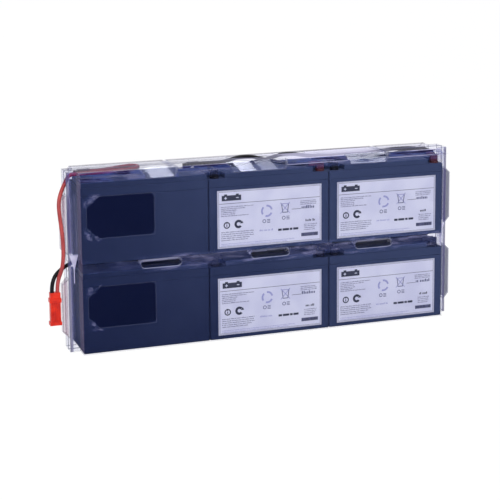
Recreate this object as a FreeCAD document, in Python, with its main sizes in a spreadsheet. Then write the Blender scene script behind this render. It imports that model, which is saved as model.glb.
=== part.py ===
import FreeCAD, Part
import math
import os
from types import SimpleNamespace

# A plug-in battery cartridge for a rack power supply: six sealed 12 V blocks in two rows of
# three, wired in series and held in a clear thermoformed shell made of two halves.
# Millimetres. +X runs along the pack, -Y is the front face, +Z is up. The origin is at the
# middle of the footprint, on the surface that the shell stands on.

SIZES = (
    # the sealed block
    ("battery_length", 151.0, "block along X"),
    ("battery_depth", 65.0, "block along Y"),
    ("case_height", 78.0, "lower case, up to the seam"),
    ("skirt_height", 10.0, "full-size part of the lid above the seam"),
    ("crown_height", 6.0, "stepped-in top of the lid"),
    ("crown_step", 1.0, "how far the crown steps in"),
    ("case_radius", 2.0, "upright corner radius of case and skirt"),
    ("seam_bevel", 0.5, "bevel at the seam"),
    ("recess_length", 20.0, "terminal recess along X"),
    ("recess_depth", 15.0, "terminal recess along Y"),
    ("vent_length", 104.0, "vent cover along X"),
    ("vent_depth", 24.0, "vent cover along Y"),
    ("vent_sink", 1.6, "thickness of the vent cover, sunk in the lid"),
    ("vent_play", 0.25, "play round the vent cover"),
    ("vent_notch", 2.2, "radius of the pry notches in the vent cover"),
    # the label
    ("label_length", 131.0, "label along X"),
    ("label_height", 69.0, "label along Z"),
    ("label_thick", 0.3, "label stock"),
    ("label_side", 10.0, "left edge of the block to the label"),
    ("label_foot", 4.6, "foot of the block to the label"),
    # stacking
    ("column_gap", 0.5, "between blocks in a row"),
    ("row_gap", 11.0, "between the rows, for the wiring"),
    # terminals
    ("tab_side", 9.0, "end of the block to the tab"),
    ("tab_face", 7.5, "face of the block to the tab"),
    ("tab_width", 6.35, "quick-connect blade"),
    ("tab_thick", 0.8, "quick-connect blade"),
    ("tab_height", 7.2, "blade above its seal"),
    ("tab_hole", 0.9, "radius of the hole in the blade"),
    ("tab_hole_drop", 2.9, "top of the blade to its hole"),
    ("seal_radius", 5.4, "coloured terminal seal"),
    ("seal_height", 2.2, "coloured terminal seal"),
    ("clip_width", 7.8, "receptacle body along X"),
    ("clip_thick", 2.4, "receptacle body along Y"),
    ("clip_height", 7.4, "receptacle body along Z"),
    ("clip_play", 0.2, "receptacle body above its seal"),
    ("barrel_radius", 1.9, "crimp barrel"),
    ("barrel_reach", 9.0, "tab to the end of the crimp barrel"),
    ("boot_wall", 0.7, "soft boot over the receptacle"),
    ("boot_reach", 15.0, "tab to the end of the boot"),
    # wiring
    ("wire_diameter", 4.6, "insulated wire"),
    ("wire_rest", 0.8, "wire above the lid it lies on"),
    # the shell
    ("film", 0.8, "wall of the shell"),
    ("fit", 0.2, "play between the blocks and the shell"),
    ("shell_radius", 2.0, "upright corner radius of the shell"),
    ("roof_room", 11.0, "upper lids to the top of the shell"),
    ("shoulder_drop", 5.0, "top of the shell to its front shoulder"),
    ("shoulder_run", 9.0, "how far the sloped shoulder runs back"),
    ("channel_reach", 12.0, "end channel beyond the end wall"),
    ("channel_width", 26.0, "end channel along Y"),
    ("channel_shift", -3.5, "middle of the end channel from mid-depth"),
    ("grip_reach", 7.0, "grip bulge beyond the end channel"),
    ("grip_width", 13.0, "grip bulge along Y at its foot"),
    ("grip_height", 73.0, "grip bulge along Z at its foot"),
    ("grip_back", 1.0, "front of the channel to the grip bulge"),
    ("grip_draft", 8.0, "how far the grip bulge tapers top and bottom"),
    ("grip_side_draft", 2.5, "how far the grip bulge tapers front and back"),
    ("grip_middle", 49.0, "middle of a grip bulge from mid-height of the row gap"),
    ("left_bay_middle", -133.5, "sloped roof bay over the left column"),
    ("left_bay_width", 33.0, "sloped roof bay at its foot"),
    ("middle_bay_middle", -12.5, "sloped roof bay over the middle column"),
    ("middle_bay_width", 63.0, "sloped roof bay at its foot"),
    ("right_bay_middle", 127.5, "sloped roof bay over the right column"),
    ("right_bay_width", 45.0, "sloped roof bay at its foot"),
    ("bay_lip", 1.5, "level floor of a bay at its foot"),
    ("bay_run", 18.0, "how far a bay runs back at the top"),
    ("bay_draft", 7.0, "how far a bay widens to the top, each side"),
    ("groove_width", 4.0, "stiffening groove across the roof"),
    ("groove_sink", 2.0, "stiffening groove across the roof"),
    ("left_groove", -113.5, "groove over the left column"),
    ("right_groove", 156.0, "groove over the right column"),
    ("pocket_length", 48.0, "spacer pocket between the rows, along X"),
    ("pocket_depth", 14.0, "spacer pocket, inwards"),
    ("pocket_pitch", 134.0, "between the spacer pockets along X"),
    ("pad_length", 80.0, "touching pad on the bare face of a block"),
    ("pad_height", 49.0, "touching pad on the bare face of a block"),
    ("pad_side", 6.0, "end of the block to the pad"),
    ("pad_foot", 29.0, "foot of the block to the pad"),
    ("pad_corner", 12.0, "cut corners of the pad"),
    ("pad_sink", 0.45, "how far the pad is pressed in"),
    ("left_window_length", 50.0, "roof window where the left link bows out"),
    ("right_window_length", 40.0, "roof window where the right link bows out"),
    ("window_width", 10.0, "roof windows"),
    ("left_window_x", -15.5, "left roof window, from the middle column"),
    ("left_window_y", 5.2, "left roof window, from mid-depth"),
    ("right_window_x", 42.0, "right roof window, from the middle column"),
    ("right_window_y", 15.2, "right roof window, from mid-depth"),
    ("exit_radius", 6.2, "hole where a lead leaves the shell"),
    ("red_exit_drop", 6.6, "positive lead's hole below the wires on the upper row"),
    ("black_exit_rise", 2.9, "negative lead's hole above the wires on the lower row"),
    ("red_exit_front", 5.5, "positive lead's hole to the middle of the channel, forwards"),
    ("black_exit_front", 5.0, "negative lead's hole to the middle of the channel, forwards"),
    # the connector
    ("plug_width", 13.6, "connector housing along X"),
    ("plug_thick", 9.6, "connector housing along Y"),
    ("plug_height", 38.0, "connector housing along Z"),
    ("plug_side", 17.0, "end channel to the middle of the connector"),
    ("plug_front", 16.5, "middle of the channel to the connector, forwards"),
    ("plug_foot", 36.0, "floor to the connector"),
    ("plug_rib", 0.9, "grip ribs on the connector"),
    ("plug_rib_pitch", 2.6, "between the grip ribs"),
    ("plug_collar_top", 6.8, "top of the connector to its collar"),
    ("plug_collar_height", 4.6, "collar along Z"),
    ("plug_lip_height", 3.8, "thicker lip round the mouth, along Z"),
    ("plug_mouth", 13.0, "depth of the mating mouth"),
    ("plug_wall", 1.5, "wall of the mating mouth"),
    ("contact_radius", 1.2, "contact pin"),
    ("contact_length", 8.0, "contact pin below the mouth's floor"),
    ("lead_spacing", 6.4, "between the two leads in the connector"),
)

COLUMNS = ("left", "middle", "right")
ROWS = ("lower", "upper")
TURNED = (True, False, False)
LEFT_WINDOW_TURN = -15.4
RIGHT_WINDOW_TURN = -6.5
# How far a cutting or joining form runs past the face that it goes through.
PAST = 1.0

doc = FreeCAD.newDocument("battery_cartridge")
sheet = doc.addObject("Spreadsheet::Sheet", "Sizes")
for row, (alias, amount, note) in enumerate(SIZES, start=1):
    sheet.set("A%d" % row, alias)
    sheet.set("B%d" % row, str(amount))
    sheet.set("C%d" % row, note)
    sheet.setAlias("B%d" % row, alias)
doc.recompute()


class Size:
    """A formula on the sheet's cells, kept with its present value."""

    def __init__(self, text, value):
        self.text = text
        self.value = value

    def __add__(self, other):
        return join(self, "+", other, value_of(self) + value_of(other))

    def __radd__(self, other):
        return join(other, "+", self, value_of(other) + value_of(self))

    def __sub__(self, other):
        return join(self, "-", other, value_of(self) - value_of(other))

    def __rsub__(self, other):
        return join(other, "-", self, value_of(other) - value_of(self))

    def __mul__(self, other):
        return join(self, "*", other, value_of(self) * value_of(other))

    def __rmul__(self, other):
        return join(other, "*", self, value_of(other) * value_of(self))

    def __truediv__(self, other):
        return join(self, "/", other, value_of(self) / value_of(other))

    def __neg__(self):
        return join(0, "-", self, -self.value)

    def __float__(self):
        return float(self.value)


def value_of(term):
    return term.value if isinstance(term, Size) else float(term)


def text_of(term):
    return term.text if isinstance(term, Size) else repr(float(term))


def join(left, sign, right, value):
    return Size("(%s %s %s)" % (text_of(left), sign, text_of(right)), value)


S = SimpleNamespace(**{
    alias: Size("Sizes." + alias, float(getattr(sheet, alias))) for alias, _, _ in SIZES
})

# ---- places that several pieces share ------------------------------------------------------

battery_height = S.case_height + S.skirt_height + S.crown_height
column_pitch = S.battery_length + S.column_gap
row_pitch = battery_height + S.row_gap
end_x = (S.battery_length * 3 + S.column_gap * 2) / 2
face_y = S.battery_depth / 2
foot_z = S.film + S.fit
gap_z = foot_z + battery_height + S.row_gap / 2
roof_z = foot_z + row_pitch + battery_height + S.roof_room
shell_x = end_x + S.fit + S.film
shell_y = face_y + S.label_thick + S.fit + S.film
wire_radius = S.wire_diameter / 2


def column_x(column):
    return column_pitch * (column - 1)


def row_z(row):
    return foot_z + row_pitch * row


def lid_z(row):
    return row_z(row) + battery_height


def wire_z(row):
    """Axis height of a wire that lies on the lids of a row."""
    return lid_z(row) + S.wire_rest + wire_radius


def tab_place(column, row, positive):
    """Middle of a blade, as x, y and the height of its recess floor."""
    turn = -1 if TURNED[column] else 1
    side = (S.battery_length / 2 - S.tab_side) * (turn if positive else -turn)
    return column_x(column) + side, (face_y - S.tab_face) * -turn, lid_z(row) - S.crown_height


# ---- shapes that the sheet drives ----------------------------------------------------------

serial = 0


def add(kind, name):
    global serial
    serial += 1
    return doc.addObject(kind, "%s_%d" % (name, serial))


def bind(item, **formulas):
    for prop, term in formulas.items():
        if isinstance(term, Size):
            item.setExpression(prop, term.text)
        else:
            setattr(item, prop, term)


def place(item, x=0.0, y=0.0, z=0.0, turn=None):
    if turn is not None:
        item.Placement = FreeCAD.Placement(FreeCAD.Vector(), turn)
    for axis, term in (("x", x), ("y", y), ("z", z)):
        item.setExpression("Placement.Base." + axis, text_of(term))
    return item


def about(axis, degrees):
    return FreeCAD.Rotation(FreeCAD.Vector(*axis), degrees)


def block(name, x, y, z):
    """A box between two x, two y and two z values."""
    item = add("Part::Box", name)
    bind(item, Length=x[1] - x[0], Width=y[1] - y[0], Height=z[1] - z[0])
    return place(item, x[0], y[0], z[0])


def cylinder(name, radius, height, x, y, z, turn=None):
    item = add("Part::Cylinder", name)
    bind(item, Radius=radius, Height=height)
    return place(item, x, y, z, turn)


def wedge(name, depth, near, far, x, y, z, turn=None):
    """A tapered block that grows along its own +Y. near and far are ((x0, x1), (z0, z1))."""
    item = add("Part::Wedge", name)
    bind(item, Ymin=0.0, Ymax=depth,
         Xmin=near[0][0], Xmax=near[0][1], Zmin=near[1][0], Zmax=near[1][1],
         X2min=far[0][0], X2max=far[0][1], Z2min=far[1][0], Z2max=far[1][1])
    return place(item, x, y, z, turn)


def fuse(name, items):
    if len(items) == 1:
        return items[0]
    item = add("Part::MultiFuse", name)
    item.Shapes = items
    return item


def cut(name, base, tool):
    item = add("Part::Cut", name)
    item.Base = base
    item.Tool = tool
    return item


def common(name, base, tool):
    item = add("Part::Common", name)
    item.Base = base
    item.Tool = tool
    return item


def group(name, items):
    item = add("Part::Compound", name)
    item.Links = items
    return item


def soften(kind, name, base, amount, wanted):
    """A fillet or chamfer of the edges for which wanted(edge) holds."""
    doc.recompute()
    item = add(kind, name)
    item.Base = base
    picked = [n for n, edge in enumerate(base.Shape.Edges, start=1) if wanted(edge)]
    item.Edges = [(n, float(amount), float(amount)) for n in picked]
    return item


def upright(edge):
    ends = edge.Vertexes
    return abs(ends[0].Z - ends[-1].Z) > 1.0


NODES = {}


def node(name, item):
    item.Label = name
    NODES[name] = item
    return item


# ---- the sealed block ----------------------------------------------------------------------

def battery_case(column, row):
    name = "%s_%s_case" % (ROWS[row], COLUMNS[column])
    half = S.battery_length / 2
    body = block("case_body", (-half, half), (-face_y, face_y), (0.0, S.case_height))
    body = soften("Part::Fillet", "case_round", body, S.case_radius, upright)
    top = float(S.case_height)
    rim = soften("Part::Chamfer", "case", body, S.seam_bevel,
                 lambda edge: min(vertex.Z for vertex in edge.Vertexes) > top - 0.01)
    return node(name, place(rim, column_x(column), 0.0, row_z(row)))


def lid_parts():
    """Skirt and crown of a lid, and the recesses cut in the crown."""
    half = S.battery_length / 2
    skirt = block("skirt", (-half, half), (-face_y, face_y), (0.0, S.skirt_height))
    skirt = soften("Part::Fillet", "skirt_round", skirt, S.case_radius, upright)
    top = S.skirt_height + S.crown_height
    step = S.crown_step
    crown = block("crown", (step - half, half - step), (step - face_y, face_y - step), (S.skirt_height, top))
    crown = soften("Part::Fillet", "crown_round", crown, S.case_radius - step / 2, upright)
    tools = []
    for side in (-1, 1):
        inner = half - S.recess_length
        x = (inner, half + PAST) if side > 0 else (-half - PAST, -inner)
        tools.append(block("recess", x, (-face_y - PAST, S.recess_depth - face_y), (S.skirt_height, top + PAST)))
    play = S.vent_play
    tools.append(block("vent_seat", (-S.vent_length / 2 - play, S.vent_length / 2 + play),
                       (-S.vent_depth / 2 - play, S.vent_depth / 2 + play), (top - S.vent_sink, top + PAST)))
    return fuse("lid_blank", [skirt, crown]), fuse("lid_tools", tools)


def battery_lid(column, row):
    name = "%s_%s_lid" % (ROWS[row], COLUMNS[column])
    blank, tools = lid_parts()
    lid = cut("lid", blank, tools)
    turn = about((0, 0, 1), 180 if TURNED[column] else 0)
    return node(name, place(lid, column_x(column), 0.0, row_z(row) + S.case_height, turn))


def vent_cover(column, row):
    name = "%s_%s_vent_cover" % (ROWS[row], COLUMNS[column])
    half = S.vent_length / 2
    plate = block("vent_plate", (-half, half), (-S.vent_depth / 2, S.vent_depth / 2), (0.0, S.vent_sink))
    notches = [cylinder("vent_notch", S.vent_notch, S.vent_sink, half * side, 0.0, 0.0) for side in (-1, 1)]
    cover = cut("vent_cover", plate, fuse("vent_notches", notches))
    return node(name, place(cover, column_x(column), 0.0, lid_z(row) - S.vent_sink))


def battery_label(column, row):
    """The paper label on the face that the terminals are nearest to."""
    name = "%s_%s_label" % (ROWS[row], COLUMNS[column])
    foot = row_z(row) + S.label_foot
    left = S.label_side - S.battery_length / 2
    if TURNED[column]:
        x = (column_x(column) - left - S.label_length, column_x(column) - left)
        y = (face_y, face_y + S.label_thick)
    else:
        x = (column_x(column) + left, column_x(column) + left + S.label_length)
        y = (-face_y - S.label_thick, -face_y)
    return node(name, block("label", x, y, (foot, foot + S.label_height)))


# ---- terminals, receptacles and boots ------------------------------------------------------

# The way each receptacle points its crimp barrel, in degrees about +Z, by row and column.
BARRELS = {
    ("upper", 0, True): 0, ("upper", 0, False): 0,
    ("upper", 1, False): 90, ("upper", 1, True): 180,
    ("upper", 2, False): 90, ("upper", 2, True): 90,
    ("lower", 0, True): 0, ("lower", 0, False): -90,
    ("lower", 1, False): 180, ("lower", 1, True): 90,
    ("lower", 2, False): 90, ("lower", 2, True): 180,
}


def barrel_way(column, row, positive):
    angle = math.radians(BARRELS[ROWS[row], column, positive])
    return round(math.cos(angle)), round(math.sin(angle))


def terminal(column, row, positive):
    """Blade, seal, receptacle and boot at one terminal."""
    x, y, floor = tab_place(column, row, positive)
    half_w, half_t = S.tab_width / 2, S.tab_thick / 2
    blade_top = floor + S.seal_height + S.tab_height
    blade = ((x - half_w, x + half_w), (y - half_t, y + half_t), (floor, blade_top))
    hole = cylinder("blade_hole", S.tab_hole, S.tab_thick + PAST * 2, x, y + half_t + PAST,
                    blade_top - S.tab_hole_drop, about((1, 0, 0), 90))
    tab = cut("blade", block("blade_stock", *blade), hole)
    seal = cut("seal", cylinder("seal_ring", S.seal_radius, S.seal_height, x, y, floor), block("seal_slot", *blade))

    low = floor + S.seal_height + S.clip_play
    clip_x = (x - S.clip_width / 2, x + S.clip_width / 2)
    clip_y = (y - S.clip_thick / 2, y + S.clip_thick / 2)
    way = barrel_way(column, row, positive)
    turn = barrel_turn(way)
    axis_z = wire_z(row)
    body = block("clip_body", clip_x, clip_y, (low, low + S.clip_height))
    barrel = cylinder("barrel", S.barrel_radius, S.barrel_reach, x, y, axis_z, turn)
    clip = cut("clip", fuse("clip_blank", [body, barrel]), block("clip_slot", *blade))

    wall = S.boot_wall
    sleeve_top = low + S.clip_height + wall
    jacket = block("jacket", (clip_x[0] - wall, clip_x[1] + wall), (clip_y[0] - wall, clip_y[1] + wall),
                   (low, sleeve_top))
    tube = cylinder("boot_tube", wire_radius + wall, S.boot_reach, x, y, axis_z, turn)
    bore = cylinder("boot_bore", wire_radius, S.boot_reach + PAST, x, y, axis_z, turn)
    core = block("boot_core", clip_x, clip_y, (low, low + S.clip_height))
    boot = cut("boot", fuse("boot_blank", [jacket, tube]), fuse("boot_inside", [core, bore]))
    return tab, seal, clip, boot


def barrel_turn(way):
    """The rotation that lays a cylinder's own +Z along a horizontal direction."""
    return FreeCAD.Rotation(FreeCAD.Vector(0, 0, 1), FreeCAD.Vector(way[0], way[1], 0))


def terminals(row):
    tabs, clips = [], []
    seals = {True: [], False: []}
    boots = {True: [], False: []}
    for column in range(len(COLUMNS)):
        for positive in (True, False):
            tab, seal, clip, boot = terminal(column, row, positive)
            tabs.append(tab)
            clips.append(clip)
            seals[positive].append(seal)
            boots[positive].append(boot)
    name = ROWS[row]
    node(name + "_terminal_tabs", group("tabs", tabs))
    node(name + "_receptacles", group("receptacles", clips))
    node(name + "_positive_seals", group("positive_seals", seals[True]))
    node(name + "_negative_seals", group("negative_seals", seals[False]))
    node(name + "_positive_boots", group("positive_boots", boots[True]))
    node(name + "_negative_boots", group("negative_boots", boots[False]))


# ---- wires ---------------------------------------------------------------------------------

TANGENT_SHARE = 0.45


def rounded_path(points):
    """Straight runs joined by tangent arcs, each as large as its two runs allow."""
    points = [FreeCAD.Vector(*(float(value_of(c)) for c in point)) for point in points]
    edges, radii = [], []
    start = points[0]
    for before, here, after in zip(points, points[1:], points[2:]):
        inward, outward = here - before, after - here
        turn = inward.getAngle(outward)
        setback = TANGENT_SHARE * min(inward.Length, outward.Length)
        radius = setback / math.tan(turn / 2)
        inward.normalize()
        outward.normalize()
        first, last = here - inward * setback, here + outward * setback
        bisector = (outward - inward).normalize()
        middle = here + bisector * (radius / math.cos(turn / 2) - radius)
        edges.append(Part.LineSegment(start, first).toShape())
        edges.append(Part.Arc(first, middle, last).toShape())
        radii.append(radius)
        start = last
    edges.append(Part.LineSegment(start, points[-1]).toShape())
    return Part.Wire(edges), radii


def wire(name, points):
    path, radii = rounded_path(points)
    start = path.Vertexes[0].Point
    way = path.Edges[0].tangentAt(path.Edges[0].FirstParameter)
    ring = Part.Wire([Part.makeCircle(float(wire_radius), start, way)])
    tube = path.makePipeShell([ring], True, False)
    item = add("Part::Feature", "wire")
    item.Shape = tube
    length = path.Length
    share = tube.Volume / (math.pi * float(wire_radius) ** 2 * length)
    print("%-32s length %6.1f  volume share %.4f  radii %s"
          % (name, length, share, " ".join("%.1f" % radius for radius in radii)))
    return node(name, item)


def boot_mouth(column, row, positive):
    """Where a wire meets the end of its crimp barrel."""
    x, y, _ = tab_place(column, row, positive)
    way = barrel_way(column, row, positive)
    return x + S.barrel_reach * way[0], y + S.barrel_reach * way[1], wire_z(row)


def shift(point, x=0.0, y=0.0, z=0.0):
    return point[0] + x, point[1] + y, point[2] + z


def along(point, way, distance):
    return tuple(start + step * distance for start, step in zip(point, way))


channel_y = S.channel_shift
channel_x = shell_x + S.channel_reach
lane_x = end_x + S.fit + (S.channel_reach - S.film) / 2
red_exit = (-channel_x, channel_y - S.red_exit_front, wire_z(1) - S.red_exit_drop)
black_exit = (-channel_x, channel_y - S.black_exit_front, wire_z(0) + S.black_exit_rise)
RED_WAY = (-0.5, -0.33, -0.8)
BLACK_WAY = (-0.841, -0.479, -0.259)


def link_wires():
    """The five wires that join the blocks in series."""
    upper, lower = wire_z(1), wire_z(0)
    under_roof = roof_z - S.film - wire_radius

    start = boot_mouth(0, 1, False)
    end = boot_mouth(1, 1, True)
    wire("upper_left_to_middle_link", [
        start, shift(start, 15), (column_x(1) - 43, 13, upper + 2.1), (column_x(1) - 25, 7.5, under_roof + 3.4),
        (column_x(1) - 10, 5, under_roof + 3.6), (column_x(1) + 9, -2, upper + 3.5),
        (column_x(1) + 27, -16, upper + 0.8), shift(end, -14), end])

    start = boot_mouth(1, 1, False)
    end = boot_mouth(2, 1, True)
    wire("upper_middle_to_right_link", [
        start, shift(start, 0, 14), (column_x(1) - 55, 6, upper), (column_x(1) - 36, 3.5, upper),
        (column_x(1) - 17, 6, upper), (column_x(1) + 3, 13, upper + 0.4), (column_x(1) + 20, 16, upper + 3),
        (column_x(1) + 35, 17.5, under_roof + 1.8), (column_x(1) + 49, 14.5, under_roof + 1.2),
        (column_x(1) + 66, 12, upper + 3), (column_x(2) - 66, 14, upper + 1.2), (column_x(2) - 46, 15, upper + 1),
        (column_x(2) - 26, 14, upper + 1.2), (column_x(2) - 6, 12, upper + 1.6),
        (column_x(2) + 12, 13, under_roof - 1.9), (column_x(2) + 28, 12, under_roof - 0.2),
        (column_x(2) + 46, 12, under_roof - 0.2), (column_x(2) + 60, 9, under_roof - 1), shift(end, 0, 14), end])

    start = boot_mouth(2, 1, False)
    end = boot_mouth(2, 0, True)
    wire("row_link", [
        start, shift(start, 0, 13), (column_x(2) - 55, 4, upper - 0.4), (column_x(2) - 37, 1, upper - 0.6),
        (column_x(2) - 15, 2, upper - 0.7), (column_x(2) + 7, 4, upper - 0.7),
        (column_x(2) + 29, 9, upper - 0.7), (column_x(2) + 46, 18.5, upper - 0.2),
        (column_x(2) + 59, 17, upper + 1.7), (end_x - 6, 8, upper + 3.7), (lane_x, 0, upper - 3),
        (lane_x, -3, upper - 29), (lane_x, -4, upper - 59), (lane_x, 0, lower + 32), (lane_x, 1, lower + 1),
        (column_x(2) + 53, 2, lower), (column_x(2) + 29, 1.5, lower), (column_x(2) + 19.5, -5.5, lower),
        (column_x(2) + 19.5, -17.5, lower), shift(end, -24), end])

    start = boot_mouth(2, 0, False)
    end = boot_mouth(1, 0, True)
    wire("lower_right_to_middle_link", [start, shift(start, 0, 20.5), shift(end, 0, 22), end])

    start = boot_mouth(1, 0, False)
    end = boot_mouth(0, 0, True)
    wire("lower_middle_to_left_link", [
        start, shift(start, -14), (column_x(0) + 42, -9, lower), (column_x(0) + 16, 4, lower),
        (column_x(0) - 16, 7, lower), (column_x(0) - 32.5, 15, lower), shift(end, 14), end])


def feed_wires():
    """The stretches of the two leads that run inside the shell."""
    upper, lower = wire_z(1), wire_z(0)
    start = boot_mouth(0, 1, True)
    wire("red_feed", [
        start, shift(start, 14), (column_x(0) - 27.5, 22.6, upper + 1.5), (column_x(0) - 14, 21.2, upper + 3.3),
        (column_x(0) - 4, 20, upper + 4.3), (column_x(0) + 2, 14, upper + 4.5), (column_x(0) + 2, 5.5, upper + 4.5),
        (column_x(0) - 4.5, -0.3, upper + 4.1), (column_x(0) - 19.5, -2, upper + 3.2),
        (column_x(0) - 40, -3, upper + 2.6), (column_x(0) - 62, -4, upper + 3), along(red_exit, RED_WAY, -12),
        red_exit])

    start = boot_mouth(0, 0, False)
    wire("black_feed", [
        start, shift(start, 0, -14), (column_x(0) + 56.5, -8, lower + 3.4), (column_x(0) + 40.5, -12, lower + 5.1),
        (column_x(0) + 21, -9, lower + 5.2), (column_x(0) - 1, -8, lower + 5.1), (column_x(0) - 20, -8.5, lower + 5),
        (column_x(0) - 41, -5, lower + 4.8),
        (column_x(0) - 62.5, -3, lower + 4.7), along(black_exit, BLACK_WAY, -10), black_exit])


# ---- the free leads and their connector ----------------------------------------------------

plug_x = -channel_x - S.plug_side
plug_y = channel_y - S.plug_front
plug_z = S.plug_foot
plug_top = plug_z + S.plug_height
red_end = (plug_x + S.lead_spacing / 2, plug_y, plug_top)
black_end = (plug_x - S.lead_spacing / 2, plug_y, plug_top)


def free_leads():
    """Each lead from its hole in the shell to the connector, as points picked along its route."""
    wire("red_lead", [
        red_exit, along(red_exit, RED_WAY, 12), (-249.6, -18, 174.5), (-248.6, -20.8, 158), (-246.6, -22, 139),
        (-246, -22.4, 119), (-247.6, -22, 101.5), shift(red_end, 0, 0, 12), red_end])
    wire("black_lead", [
        black_exit, along(black_exit, BLACK_WAY, 14.2), shift(black_end, 0, 0, 11), black_end])


def connector():
    """A two-pole housing with grip ribs, a mating mouth below and a wire entry above each pole."""
    half_w, half_t = S.plug_width / 2, S.plug_thick / 2
    rib = S.plug_rib
    x = (plug_x - half_w + rib, plug_x + half_w - rib)
    y = (plug_y - half_t + rib, plug_y + half_t - rib)
    body = block("plug_body", x, y, (plug_z, plug_top))
    outer_x, outer_y = (x[0] - rib, x[1] + rib), (y[0] - rib, y[1] + rib)
    collar_top = plug_top - S.plug_collar_top
    collar = block("plug_collar", outer_x, outer_y, (collar_top - S.plug_collar_height, collar_top))
    lip = block("plug_lip", outer_x, outer_y, (plug_z, plug_z + S.plug_lip_height))
    ribs = []
    for step in range(-2, 3):
        middle = plug_x + S.plug_rib_pitch * step
        ribs.append(block("plug_rib", (middle - rib / 2, middle + rib / 2), outer_y, (plug_z, collar_top)))
    mouth = block("plug_mouth", (x[0] + S.plug_wall, x[1] - S.plug_wall),
                  (y[0] + S.plug_wall, y[1] - S.plug_wall), (plug_z - PAST, plug_z + S.plug_mouth))
    blank = fuse("plug_blank", [body, collar, lip] + ribs)
    housing = cut("plug", blank, mouth)
    node("connector_housing", housing)
    pins = [cylinder("contact", S.contact_radius, S.contact_length, end[0], plug_y,
                     plug_z + S.plug_mouth - S.contact_length) for end in (red_end, black_end)]
    node("connector_contacts", group("contacts", pins))


# ---- the thermoformed shell ----------------------------------------------------------------

def channel_form(side, inset):
    """The wiring channel up one end, growing outwards from inside the main body."""
    half = S.channel_width / 2 - inset
    reach = S.channel_reach - inset
    root = shell_x - S.film * 2 - S.shell_radius
    out = (root, shell_x + reach) if side > 0 else (-shell_x - reach, -root)
    return block("channel", out, (channel_y - half, channel_y + half), (0.0 + inset, roof_z - inset))


def grip_form(side, level, inset):
    """A tapered bulge on a channel, growing outwards."""
    half_y, half_z = S.grip_width / 2 - inset, S.grip_height / 2 - inset
    tip_y, tip_z = half_y - S.grip_side_draft, half_z - S.grip_draft
    grow = S.grip_reach - inset + S.film + PAST
    turn = about((0, 0, 1), -90 if side > 0 else 90)
    start = (channel_x - S.film - PAST) * side
    middle_y = channel_y - (S.channel_width - S.grip_width) / 2 + S.grip_back
    return wedge("grip", grow, ((-half_y, half_y), (-half_z, half_z)), ((-tip_y, tip_y), (-tip_z, tip_z)),
                 start, middle_y, gap_z + S.grip_middle * level, turn)


def roof_form(inset):
    """The top of the main body, narrowing above the shoulders."""
    half = shell_y - inset
    tip = half - S.shoulder_run
    x = (inset - shell_x, shell_x - inset)
    return wedge("roof", S.shoulder_drop, (x, (-half, half)), (x, (-tip, tip)),
                 0.0, 0.0, roof_z - inset - S.shoulder_drop, about((1, 0, 0), 90))


def bay_form(middle, width, inset):
    """A sloped bay pressed into the front edge of the roof between two terminals."""
    half = width / 2 + inset
    tip = half + S.bay_draft
    edge = shell_y + PAST
    foot = lid_z(1) + S.fit + S.film - inset
    near = (edge - S.bay_lip - inset, edge)
    far = (shell_y - S.bay_run - inset, edge)
    return wedge("bay", roof_z + PAST - foot, ((-half, half), near), ((-tip, tip), far),
                 middle, 0.0, foot, about((1, 0, 0), 90))


def groove_form(middle, inset):
    half = S.groove_width / 2 + inset
    return block("groove", (middle - half, middle + half), (-shell_y - PAST, shell_y + PAST),
                 (roof_z - S.groove_sink - inset, roof_z + PAST))


def pocket_form(side, step, inset):
    """A round-ended pocket pressed in between the rows; the upper blocks rest on it."""
    end_radius = (S.row_gap - S.fit * 2 - S.film * 2) / 2
    radius = end_radius + inset
    reach = S.pocket_depth + inset
    middle = S.pocket_pitch * step
    straight = S.pocket_length / 2 - end_radius
    y = (-shell_y - PAST, reach - shell_y) if side < 0 else (shell_y - reach, shell_y + PAST)
    items = [block("pocket_slot", (middle - straight, middle + straight), y, (gap_z - radius, gap_z + radius))]
    for end in (-1, 1):
        items.append(cylinder("pocket_end", radius, y[1] - y[0], middle + straight * end, y[1], gap_z,
                              about((1, 0, 0), 90)))
    return items


def pad_form(row, inset):
    """A shallow pad pressed against the bare front face of the turned block, its left corners cut."""
    left = column_x(0) - S.battery_length / 2 + S.pad_side
    foot = row_z(row) + S.pad_foot
    y = (-shell_y - PAST, S.pad_sink + inset - shell_y)
    pad = block("pad", (left, left + S.pad_length), y, (foot, foot + S.pad_height))
    corner_x = float(left) + 0.01
    return soften("Part::Chamfer", "pad_cut", pad, S.pad_corner,
                  lambda edge: not upright(edge) and max(vertex.X for vertex in edge.Vertexes) < corner_x)


def mould(inset):
    """The form that the film is drawn over, shrunk by inset."""
    x = (inset - shell_x, shell_x - inset)
    y = (inset - shell_y, shell_y - inset)
    trunk = block("trunk", x, y, (0.0 + inset, roof_z - inset - S.shoulder_drop))
    trunk = soften("Part::Fillet", "trunk_round", trunk, S.shell_radius - inset, upright)
    solids = [trunk, roof_form(inset)]
    for side in (-1, 1):
        solids.append(channel_form(side, inset))
        for level in (-1, 1):
            solids.append(grip_form(side, level, inset))
    tools = [groove_form(S.left_groove, inset), groove_form(S.right_groove, inset),
             bay_form(S.left_bay_middle, S.left_bay_width, inset),
             bay_form(S.middle_bay_middle, S.middle_bay_width, inset),
             bay_form(S.right_bay_middle, S.right_bay_width, inset)]
    for side in (-1, 1):
        for step in (-1, 0, 1):
            tools.extend(pocket_form(side, step, inset))
    for row in range(len(ROWS)):
        tools.append(pad_form(row, inset))
    return cut("mould", fuse("mould_solids", solids), fuse("mould_tools", tools))


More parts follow.
